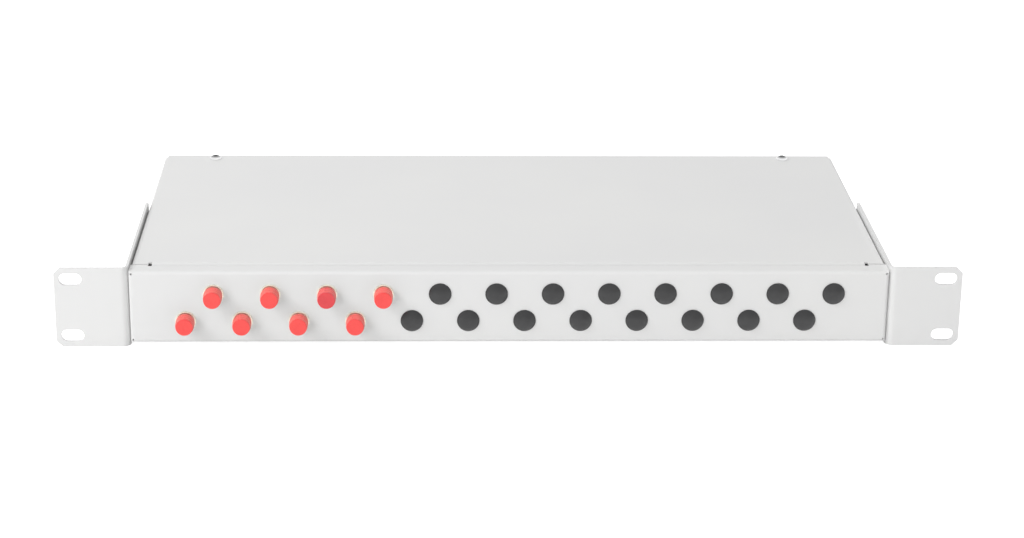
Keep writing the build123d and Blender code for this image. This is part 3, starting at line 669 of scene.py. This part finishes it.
headUp = Matrix.Rotation(radians(-90), 3, "X")
topScrews = []
panMesh = panScrewBody()
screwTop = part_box("cover_screws")[1].z / mm
for k, (x, y, z) in enumerate(pairPlaces("cover_screws", panScrew["headR"])):
    lean = Matrix.Rotation(radians(25 + 40 * k), 3, "Z")
    topScrews.append(shifted(panMesh.copy(), (x, y, screwTop - panScrew["headH"]), lean @ headUp))
panMesh.free()
makePiece(joined(topScrews), "cover_screws_turned", "panel", brightZinc, ["cover_screws"], 40)

sideScrews = []
flatMesh = flatScrewBody()
low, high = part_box("bracket_screws")
for side, x in ((-1, low.x / mm), (1, high.x / mm)):
    for k, y in enumerate((low.y / mm + flatScrew["headR"], high.y / mm - flatScrew["headR"])):
        faceOut = Matrix.Rotation(radians(90 * side), 3, "Z")
        lean = Matrix.Rotation(radians(20 + 33 * k + 50 * side), 3, "X")
        sideScrews.append(shifted(flatMesh.copy(), (x, y, 0), lean @ faceOut))
flatMesh.free()
makePiece(joined(sideScrews), "bracket_screws_turned", "panel", zinc, ["bracket_screws"], 40)
print("screws cut")


# Cable glands

glandShape = {
    "hexAcross": 23.6, "hexT": 6.0, "threadR": 9.9, "threadCore": 9.35, "pitch": 1.5, "boreR": 6.0,
    "neckR": 8.6, "neckCore": 8.1, "neckLen": 9.0,
    "sealR": 7.2, "sealBore": 4.5, "sealStep": 0.8, "sealFit": 7.25,
    "capAcross": 22.0, "capDome": 3.4, "capEndR": 9.0, "capMouth": 5.6, "capEndT": 1.6, "capFit": 8.65,
    "nutAcross": 25.0, "nutBore": 9.95, "edge": 0.4,
}


def glandTube():
    # The threaded tube with its seal pocket; y = 0 is the body's inner end
    g = glandShape
    low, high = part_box("gland_bodies")
    length = (high.y - low.y) / mm
    edge = g["edge"]
    inLen = length - g["hexT"] - g["neckLen"]
    profile = [
        (g["boreR"], edge), (g["boreR"] + edge, 0), (g["threadCore"] - edge, 0), (g["threadCore"], edge),
        (g["threadCore"], inLen + 1), (g["neckCore"], inLen + g["hexT"]), (g["neckCore"], length - edge),
        (g["neckCore"] - edge, length), (g["sealFit"], length), (g["sealFit"], inLen + g["hexT"]),
        (g["boreR"], inLen + g["hexT"]),
    ]
    tube = spun(profile + profile[:1], 64)
    hexBlock = hexBar(g["hexAcross"], inLen, inLen + g["hexT"], ("end",))
    hexBlock = bored(hexBlock, g["threadCore"] - 0.3, inLen, length)
    threads = [
        threadRidge(g["threadCore"], g["threadR"], g["pitch"], edge, inLen - 0.3, steps=40),
        threadRidge(g["neckCore"], g["neckR"], g["pitch"], inLen + g["hexT"] + 0.3, length - edge, steps=40),
    ]
    return joined([tube, softenEdges(hexBlock, 0.25, 2, 35)] + threads)


def glandCap():
    # The clamping nut with its domed end; y = 0 is the end that faces the body
    g = glandShape
    low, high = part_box("gland_cap_nuts")
    length = (high.y - low.y) / mm
    corner = g["capAcross"] / sqrt(3)
    drop = g["capDome"]
    dome = [(g["capEndR"] + (corner - g["capEndR"]) * sin(radians(a)), length - drop * (1 - cos(radians(a))))
            for a in range(0, 91, 10)]
    turnedBar = spun([(0, 0), (corner - 0.8, 0), (corner, 0.8)] + dome[::-1] + [(0, length)], 72)
    nut = carve(hexBar(g["capAcross"], 0, length, ()), turnedBar, "INTERSECT")
    hollow = spun([(0, -1), (g["capFit"], -1), (g["capFit"], length - g["capEndT"]),
                   (g["capMouth"], length - g["capEndT"]), (g["capMouth"] + 0.1, length - 0.4),
                   (g["capMouth"] + 0.6, length + 0.1), (0, length + 0.1)], 64)
    return softenEdges(carve(nut, hollow), 0.25, 2, 35)


def glandNut():
    g = glandShape
    low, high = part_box("gland_lock_nuts")
    length = (high.y - low.y) / mm
    nut = bored(hexBar(g["nutAcross"], 0, length, ("start",)), g["nutBore"], 0, length)
    return softenEdges(nut, 0.2, 2, 35)


def glandSeal():
    # A soft sleeve, stepped at its mouth where the cap nut squeezes it
    g = glandShape
    low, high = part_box("gland_seals")
    length = (high.y - low.y) / mm
    edge = g["edge"]
    step = g["sealStep"]
    profile = [(g["sealBore"] + edge, 0), (g["sealR"] - edge, 0), (g["sealR"], edge),
               (g["sealR"], length - edge), (g["sealR"] - edge, length), (g["sealBore"] + step, length),
               (g["sealBore"], length - step), (g["sealBore"], edge)]
    return spun(profile + profile[:1], 56)


glandParts = {
    "gland_bodies": (glandTube, "black_nylon", nylon),
    "gland_cap_nuts": (glandCap, "black_nylon", nylon),
    "gland_lock_nuts": (glandNut, "black_nylon", nylon),
    "gland_seals": (glandSeal, "seal_rubber", rubber),
}
sealPlaces = pairPlaces("gland_seals", glandShape["sealR"])
for node, (shape, slotName, finish) in glandParts.items():
    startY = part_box(node)[0].y / mm
    mesh = shape()
    pair = [shifted(mesh.copy(), (x, startY, z)) for x, y, z in sealPlaces]
    mesh.free()
    makePiece(joined(pair), node + "_moulded", "panel", finish, [node], 35)
print("glands moulded")


# Ground stud

groundShape = {
    "core": 2.12, "crest": 2.5, "pitch": 0.8, "nutAcross": 8.0, "nutT": 3.2, "nutBore": 2.55,
    "washerR": 5.2, "washerT": 1.0, "edge": 0.2,
}


def groundPieces():
    g = groundShape
    edge = g["edge"]
    low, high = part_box("ground_stud")
    y0 = low.y / mm
    y1 = high.y / mm
    core = spun([(0, y0), (g["core"] - edge, y0), (g["core"], y0 + edge), (g["core"], y1 - edge),
                 (g["core"] - edge, y1), (0, y1)], 40)
    stud = joined([core, threadRidge(g["core"], g["crest"], g["pitch"], y0 + edge, y1 - edge)])
    makePiece(stud, "ground_stud_turned", "panel", zinc, ["ground_stud"], 40)
    nutLow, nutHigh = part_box("ground_nuts")
    nuts = []
    for start, side in ((nutLow.y / mm, ("start",)), (nutHigh.y / mm - g["nutT"], ("end",))):
        bar = hexBar(g["nutAcross"], start, start + g["nutT"], side)
        nuts.append(softenEdges(bored(bar, g["nutBore"], start, start + g["nutT"]), 0.1, 2, 35))
    makePiece(joined(nuts), "ground_nuts_turned", "panel", zinc, ["ground_nuts"], 35)
    washerLow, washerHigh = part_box("ground_washers")
    washers = []
    for start in (washerLow.y / mm, washerHigh.y / mm - g["washerT"]):
        end = start + g["washerT"]
        ring = [(g["nutBore"], start), (g["washerR"] - edge, start), (g["washerR"], start + edge),
                (g["washerR"], end - edge), (g["washerR"] - edge, end), (g["nutBore"], end)]
        washers.append(spun(ring + ring[:1], 48))
    makePiece(joined(washers), "ground_washers_stamped", "panel", zinc, ["ground_washers"], 35)


groundPieces()
print("ground stud turned")


# Nodes inside the body keep their CAD shape and get a finish

carried = {
    "bracket_spacers": zinc, "bracket_nuts": zinc, "cover_nuts": zinc, "adapter_washers": zinc,
    "adapter_nuts": brass, "split_sleeves": ceramic, "splice_tray": trayWhite, "tray_lid": clear,
    "tray_posts": zinc, "tray_screws": zinc, "fibre_guides": trayWhite, "member_clamps": zinc,
    "clamp_screws": zinc,
}
for name, finish in carried.items():
    for slot in nodes[name].material_slots:
        slot.material = finish
print("inner nodes finished")


# Studio: floor, world, lamps and camera

studio = {
    "floorZ": -22.3, "floorSize": 12.0, "floorGlow": 0.8, "floorTone": 0.85,
    "ambient": 0.36, "lampSize": 1.0,
    "lamps": (
        ("front", (0.0, -2.5, 0.5), 10.8),
        ("front left", (-1.2, -2.2, 0.5), 13.8),
        ("high left", (-1.8, -1.0, 1.6), 19.0),
        ("overhead", (0.0, 0.3, 2.6), 16.0),
        ("back left", (-1.2, 1.8, 1.6), 15.1),
    ),
}
view = {
    "place": (-47.4, -1243.3, 476.7), "yaw": 2.207, "pitch": -20.09, "roll": 0.734,
    "lens": 87.95, "sensor": 36.0,
}


def rayIsSeen(tree):
    # 1 for rays that look straight, in a mirror or through glass
    path = tree.nodes.new("ShaderNodeLightPath")
    total = path.outputs["Is Camera Ray"]
    for kind in ("Is Glossy Ray", "Is Transmission Ray"):
        total = reckon(tree, "MAXIMUM", total, path.outputs[kind])
    return total


def makeWorld():
    world = bpy.data.worlds.new("studio")
    world.use_nodes = True
    scene.world = world
    tree = world.node_tree
    soft = tree.nodes["Background"]
    soft.inputs["Color"].default_value = (1, 1, 1, 1)
    soft.inputs["Strength"].default_value = studio["ambient"]
    white = tree.nodes.new("ShaderNodeBackground")
    white.inputs["Color"].default_value = (1, 1, 1, 1)
    white.inputs["Strength"].default_value = 1.0
    mix = tree.nodes.new("ShaderNodeMixShader")
    tree.links.new(rayIsSeen(tree), mix.inputs["Fac"])
    tree.links.new(soft.outputs[0], mix.inputs[1])
    tree.links.new(white.outputs[0], mix.inputs[2])
    tree.links.new(mix.outputs[0], tree.nodes["World Output"].inputs["Surface"])


def makeFloor():
    bm = bmesh.new()
    bmesh.ops.create_grid(bm, x_segments=1, y_segments=1, size=studio["floorSize"] / 2)
    bmesh.ops.translate(bm, verts=bm.verts, vec=(0, 0, studio["floorZ"] * mm))
    mesh = bpy.data.meshes.new("floor")
    bm.to_mesh(mesh)
    bm.free()
    floor = bpy.data.objects.new("floor", mesh)
    scene.collection.objects.link(floor)
    finish = bpy.data.materials.new("studio floor")
    finish.use_nodes = True
    tree = finish.node_tree
    tree.nodes.remove(tree.nodes["Principled BSDF"])
    dull = tree.nodes.new("ShaderNodeBsdfDiffuse")
    dull.inputs["Color"].default_value = (studio["floorTone"],) * 3 + (1,)
    glow = tree.nodes.new("ShaderNodeEmission")
    strength = reckon(tree, "MULTIPLY", rayIsSeen(tree), studio["floorGlow"])
    tree.links.new(strength, glow.inputs["Strength"])
    both = tree.nodes.new("ShaderNodeAddShader")
    tree.links.new(dull.outputs[0], both.inputs[0])
    tree.links.new(glow.outputs[0], both.inputs[1])
    tree.links.new(both.outputs[0], tree.nodes["Material Output"].inputs["Surface"])
    mesh.materials.append(finish)


def makeLamps():
    for name, place, power in studio["lamps"]:
        lamp = bpy.data.lights.new(name, "AREA")
        lamp.size = studio["lampSize"]
        lamp.energy = power
        obj = bpy.data.objects.new(name, lamp)
        obj.location = place
        obj.rotation_euler = (-Vector(place)).to_track_quat("-Z", "Y").to_euler()
        obj.visible_glossy = False  # gloss shows the white room, not the lamps
        scene.collection.objects.link(obj)


def makeCamera():
    lens = bpy.data.cameras.new("camera")
    lens.lens = view["lens"]
    lens.sensor_width = view["sensor"]
    camera = bpy.data.objects.new("camera", lens)
    camera.location = Vector(view["place"]) * mm
    camera.rotation_mode = "QUATERNION"
    aim = Euler((radians(90 + view["pitch"]), 0, radians(-view["yaw"]))).to_quaternion()
    camera.rotation_quaternion = aim @ Quaternion((0, 0, 1), radians(view["roll"]))
    scene.collection.objects.link(camera)
    scene.camera = camera


makeWorld()
makeFloor()
makeLamps()
makeCamera()
scene.view_settings.view_transform = "Standard"
print("studio set")
